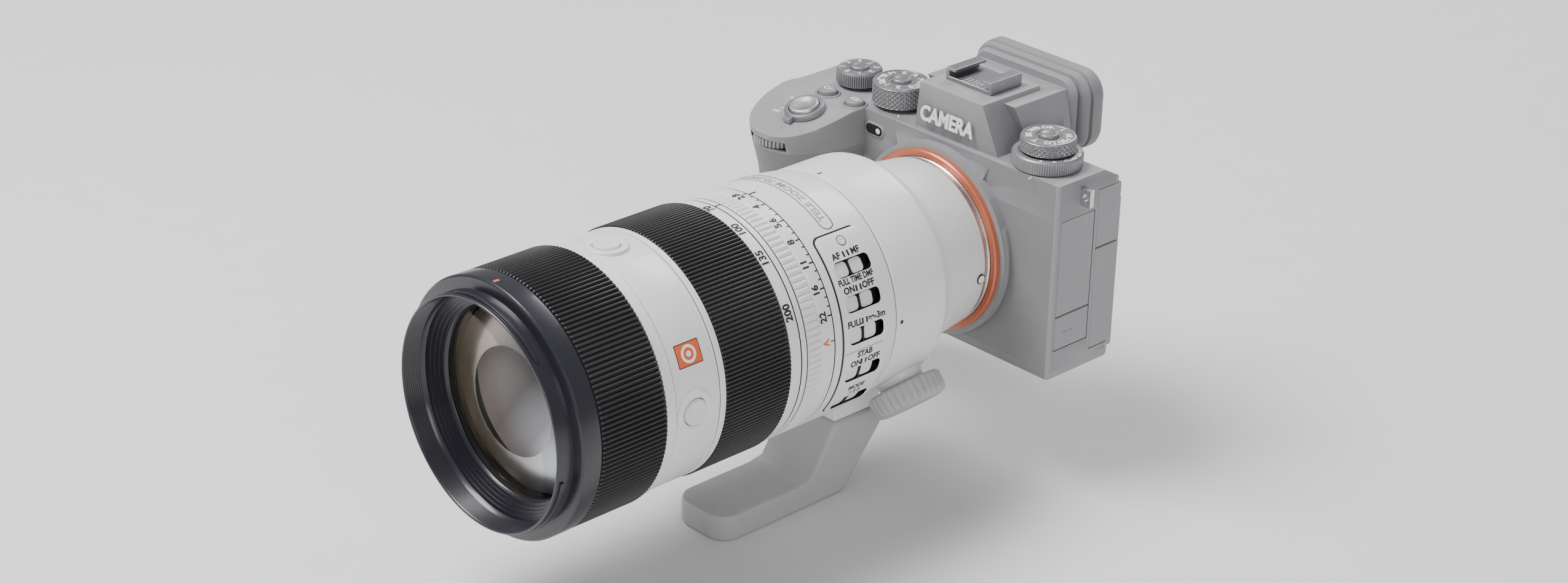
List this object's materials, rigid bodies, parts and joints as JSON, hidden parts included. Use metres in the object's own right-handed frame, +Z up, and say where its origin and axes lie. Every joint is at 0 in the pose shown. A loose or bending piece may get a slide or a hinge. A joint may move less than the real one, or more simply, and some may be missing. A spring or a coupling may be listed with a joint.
{
  "type": "mirrorless camera with telephoto zoom lens",
  "caption": "Interchangeable-lens digital camera with a white telephoto zoom on a rotating tripod collar and foot, with dials, doors and a tilting screen.",
  "frame": {"origin": "centre of the tripod foot's threaded hole, on the foot's underside", "axes": "+Z up, +Y from the lens's front towards the camera's back, +X towards the port doors; the lens axis is parallel to Y"},
  "size_m": [0.1388, 0.26, 0.1362],
  "materials": {
    "body_shell": "fine matt magnesium paint",
    "grip_rubber": "pebbled grip covering",
    "door_rubber": "matt",
    "mount_steel": "brushed",
    "orange_ring": "satin anodised",
    "sensor": "satin",
    "battery_case": "satin",
    "glass": "polished",
    "coated_glass": "polished, coated",
    "eyecup_rubber": "soft matt",
    "shoe_metal": "satin",
    "dial_metal": "knurled, satin",
    "button_grey": "satin",
    "button_white": "satin",
    "screen": "gloss",
    "lens_white": "satin off-white paint",
    "ribbed_rubber": "ribbed",
    "front_black": "satin",
    "foot_grey": "satin paint"
  },
  "bodies": {
    "camera_body": {"front_cover": "body_shell", "top_cover": "body_shell", "rear_cover": "body_shell", "base_plate": "body_shell", "handgrip": "grip_rubber", "mount_flange": "mount_steel", "mount_trim_ring": "orange_ring", "hot_shoe": "shoe_metal", "eyecup": "eyecup_rubber", "eyepiece_lens": "glass", "strap_lugs": "mount_steel", "image_sensor": "sensor", "battery": "battery_case"},
    "lens": {"lens_barrel": "lens_white", "lens_bayonet": "mount_steel", "front_ring": "front_black", "front_element": "coated_glass"},
    "focus_ring": {"focus_ring": "lens_white", "focus_grip": "ribbed_rubber"},
    "zoom_ring": {"zoom_ring": "lens_white", "zoom_grip": "ribbed_rubber"},
    "tripod_collar": {"tripod_collar": "lens_white", "tripod_foot": "foot_grey"},
    "mode_dial": {"mode_dial": "dial_metal"},
    "mode_dial_lock": {"mode_dial_lock": "dial_metal"},
    "exposure_dial": {"exposure_dial": "dial_metal"},
    "exposure_dial_lock": {"exposure_dial_lock": "dial_metal"},
    "drive_dial": {"drive_dial": "dial_metal"},
    "drive_dial_lock": {"drive_dial_lock": "dial_metal"},
    "focus_mode_dial": {"focus_mode_dial": "dial_metal"},
    "c1_button": {"c1_button": "button_grey"},
    "c2_button": {"c2_button": "button_grey"},
    "shutter_button": {"shutter_button": "dial_metal"},
    "power_lever": {"power_lever": "button_grey"},
    "front_dial": {"front_dial": "dial_metal"},
    "rear_dial": {"rear_dial": "dial_metal"},
    "control_wheel": {"control_wheel": "dial_metal"},
    "wheel_button": {"wheel_button": "button_grey"},
    "af_on_button": {"af_on_button": "button_grey"},
    "joystick": {"joystick": "button_grey"},
    "lens_release_button": {"lens_release_button": "button_grey"},
    "sync_door": {"sync_door": "door_rubber"},
    "lan_door": {"lan_door": "door_rubber"},
    "mic_door": {"mic_door": "door_rubber"},
    "hdmi_door": {"hdmi_door": "door_rubber"},
    "card_door": {"card_door": "body_shell"},
    "battery_door": {"battery_door": "body_shell"},
    "monitor_bracket": {"monitor_bracket": "shoe_metal"},
    "monitor": {"monitor": "screen"},
    "zoom_group": {"zoom_group": "glass"},
    "aperture_ring": {"aperture_ring": "lens_white"},
    "focus_hold_top": {"focus_hold_top": "button_white"},
    "focus_hold_right": {"focus_hold_right": "button_white"},
    "focus_hold_left": {"focus_hold_left": "button_white"},
    "af_mf_switch": {"af_mf_switch": "button_white"},
    "dmf_switch": {"dmf_switch": "button_white"},
    "range_switch": {"range_switch": "button_white"},
    "stabiliser_switch": {"stabiliser_switch": "button_white"},
    "mode_switch": {"mode_switch": "button_white"},
    "collar_knob": {"collar_knob": "foot_grey"}
  },
  "joints": [
    {"name": "lens_twist", "type": "hinge", "parent": "camera_body", "child": "lens", "pos_m": [0, 0.079, 0.078], "axis": [0, 1, 0], "range_deg": [0, 60]},
    {"name": "focus_ring_turn", "type": "hinge", "parent": "lens", "child": "focus_ring", "pos_m": [0, -0.091, 0.078], "axis": [0, 1, 0], "continuous": true},
    {"name": "zoom_ring_turn", "type": "hinge", "parent": "lens", "child": "zoom_ring", "pos_m": [0, -0.041, 0.078], "axis": [0, -1, 0], "range_deg": [0, 64]},
    {"name": "zoom_group_slide", "type": "slide", "parent": "lens", "child": "zoom_group", "axis": [0, -1, 0], "range_m": [0, 0.035]},
    {"name": "aperture_ring_turn", "type": "hinge", "parent": "lens", "child": "aperture_ring", "pos_m": [0, -0.012, 0.078], "axis": [0, -1, 0], "range_deg": [0, 83.5]},
    {"name": "collar_turn", "type": "hinge", "parent": "lens", "child": "tripod_collar", "pos_m": [0, 0.039, 0.078], "axis": [0, 1, 0], "continuous": true},
    {"name": "collar_knob_turn", "type": "hinge", "parent": "tripod_collar", "child": "collar_knob", "pos_m": [0.03149, 0.0405, 0.04177], "axis": [0.6561, 0, -0.7547], "continuous": true},
    {"name": "power_lever_turn", "type": "hinge", "parent": "camera_body", "child": "power_lever", "pos_m": [-0.0548, 0.0714, 0.11264], "axis": [0, -0.2647, 0.9643], "range_deg": [0, 32]},
    {"name": "front_dial_turn", "type": "hinge", "parent": "camera_body", "child": "front_dial", "pos_m": [-0.059, 0.0638, 0.104], "axis": [0, 0, 1], "continuous": true},
    {"name": "rear_dial_turn", "type": "hinge", "parent": "camera_body", "child": "rear_dial", "pos_m": [-0.058, 0.1128, 0.1052], "axis": [0, 0, 1], "continuous": true},
    {"name": "mode_dial_turn", "type": "hinge", "parent": "camera_body", "child": "mode_dial", "pos_m": [-0.033, 0.098, 0.12], "axis": [0, 0, 1], "continuous": true},
    {"name": "drive_dial_turn", "type": "hinge", "parent": "camera_body", "child": "drive_dial", "pos_m": [0.0385, 0.0976, 0.123], "axis": [0, 0, 1], "continuous": true},
    {"name": "exposure_dial_turn", "type": "hinge", "parent": "camera_body", "child": "exposure_dial", "pos_m": [-0.0565, 0.1002, 0.119], "axis": [0, 0, 1], "range_deg": [-108, 108]},
    {"name": "focus_mode_dial_turn", "type": "hinge", "parent": "camera_body", "child": "focus_mode_dial", "pos_m": [0.0385, 0.0976, 0.118], "axis": [0, 0, 1], "range_deg": [0, 92]},
    {"name": "joystick_tilt", "type": "hinge", "parent": "camera_body", "child": "joystick", "pos_m": [-0.0325, 0.12, 0.087], "axis": [1, 0, 0], "range_deg": [-7, 7], "stiffness_Nm_per_rad": 0.02},
    {"name": "control_wheel_turn", "type": "hinge", "parent": "camera_body", "child": "control_wheel", "pos_m": [-0.05, 0.121, 0.07], "axis": [0, 1, 0], "continuous": true},
    {"name": "sync_door_swing", "type": "hinge", "parent": "camera_body", "child": "sync_door", "pos_m": [0.055, 0.0882, 0.058], "axis": [0, 0, -1], "range_deg": [0, 100]},
    {"name": "lan_door_swing", "type": "hinge", "parent": "camera_body", "child": "lan_door", "pos_m": [0.055, 0.0882, 0.083], "axis": [0, 0, -1], "range_deg": [0, 100]},
    {"name": "mic_door_swing", "type": "hinge", "parent": "camera_body", "child": "mic_door", "pos_m": [0.055, 0.107, 0.097], "axis": [0, 0, -1], "range_deg": [0, 100]},
    {"name": "hdmi_door_swing", "type": "hinge", "parent": "camera_body", "child": "hdmi_door", "pos_m": [0.055, 0.107, 0.066], "axis": [0, 0, -1], "range_deg": [0, 100]},
    {"name": "card_door_swing", "type": "hinge", "parent": "camera_body", "child": "card_door", "pos_m": [-0.075, 0.107, 0.075], "axis": [0, 0, 1], "range_deg": [0, 100]},
    {"name": "battery_door_swing", "type": "hinge", "parent": "camera_body", "child": "battery_door", "pos_m": [-0.0477, 0.0874, 0.0415], "axis": [0, -1, 0], "range_deg": [0, 100]},
    {"name": "bracket_tilt", "type": "hinge", "parent": "camera_body", "child": "monitor_bracket", "pos_m": [0.0135, 0.1156, 0.0506], "axis": [-1, 0, 0], "range_deg": [0, 41]},
    {"name": "monitor_tilt", "type": "hinge", "parent": "monitor_bracket", "child": "monitor", "pos_m": [0.0135, 0.1202, 0.0972], "axis": [1, 0, 0], "range_deg": [0, 98]},
    {"name": "focus_hold_top_press", "type": "slide", "parent": "lens", "child": "focus_hold_top", "axis": [0, 0, -1], "range_m": [0, 0.0008], "stiffness_N_per_m": 500},
    {"name": "focus_hold_right_press", "type": "slide", "parent": "lens", "child": "focus_hold_right", "axis": [-1, 0, 0], "range_m": [0, 0.0008], "stiffness_N_per_m": 500},
    {"name": "focus_hold_left_press", "type": "slide", "parent": "lens", "child": "focus_hold_left", "axis": [1, 0, 0], "range_m": [0, 0.0008], "stiffness_N_per_m": 500},
    {"name": "af_mf_switch_slide", "type": "slide", "parent": "lens", "child": "af_mf_switch", "axis": [0, 1, 0], "range_m": [0, 0.0026]},
    {"name": "dmf_switch_slide", "type": "slide", "parent": "lens", "child": "dmf_switch", "axis": [0, 1, 0], "range_m": [0, 0.0026]},
    {"name": "range_switch_slide", "type": "slide", "parent": "lens", "child": "range_switch", "axis": [0, 1, 0], "range_m": [0, 0.0026]},
    {"name": "stabiliser_switch_slide", "type": "slide", "parent": "lens", "child": "stabiliser_switch", "axis": [0, 1, 0], "range_m": [0, 0.0026]},
    {"name": "mode_switch_slide", "type": "slide", "parent": "lens", "child": "mode_switch", "axis": [0, 1, 0], "range_m": [0, 0.0026]},
    {"name": "shutter_press", "type": "slide", "parent": "camera_body", "child": "shutter_button", "axis": [0, 0.2647, -0.9643], "range_m": [0, 0.0012], "stiffness_N_per_m": 500},
    {"name": "mode_dial_lock_press", "type": "slide", "parent": "mode_dial", "child": "mode_dial_lock", "axis": [0, 0, -1], "range_m": [0, 0.0005], "stiffness_N_per_m": 500},
    {"name": "exposure_dial_lock_press", "type": "slide", "parent": "exposure_dial", "child": "exposure_dial_lock", "axis": [0, 0, -1], "range_m": [0, 0.0005], "stiffness_N_per_m": 500},
    {"name": "drive_dial_lock_press", "type": "slide", "parent": "drive_dial", "child": "drive_dial_lock", "axis": [0, 0, -1], "range_m": [0, 0.0005], "stiffness_N_per_m": 500},
    {"name": "c1_button_press", "type": "slide", "parent": "camera_body", "child": "c1_button", "axis": [0, 0, -1], "range_m": [0, 0.001], "stiffness_N_per_m": 500},
    {"name": "c2_button_press", "type": "slide", "parent": "camera_body", "child": "c2_button", "axis": [0, 0, -1], "range_m": [0, 0.001], "stiffness_N_per_m": 500},
    {"name": "af_on_button_press", "type": "slide", "parent": "camera_body", "child": "af_on_button", "axis": [0, -1, 0], "range_m": [0, 0.0008], "stiffness_N_per_m": 500},
    {"name": "wheel_button_press", "type": "slide", "parent": "camera_body", "child": "wheel_button", "axis": [0, -1, 0], "range_m": [0, 0.0006], "stiffness_N_per_m": 500},
    {"name": "lens_release_press", "type": "slide", "parent": "camera_body", "child": "lens_release_button", "axis": [0, 1, 0], "range_m": [0, 0.0018], "stiffness_N_per_m": 500}
  ],
  "couplings": [
    {"joint": "zoom_group_slide", "follows": "zoom_ring_turn", "m_per_rad": 0.0312}
  ]
}
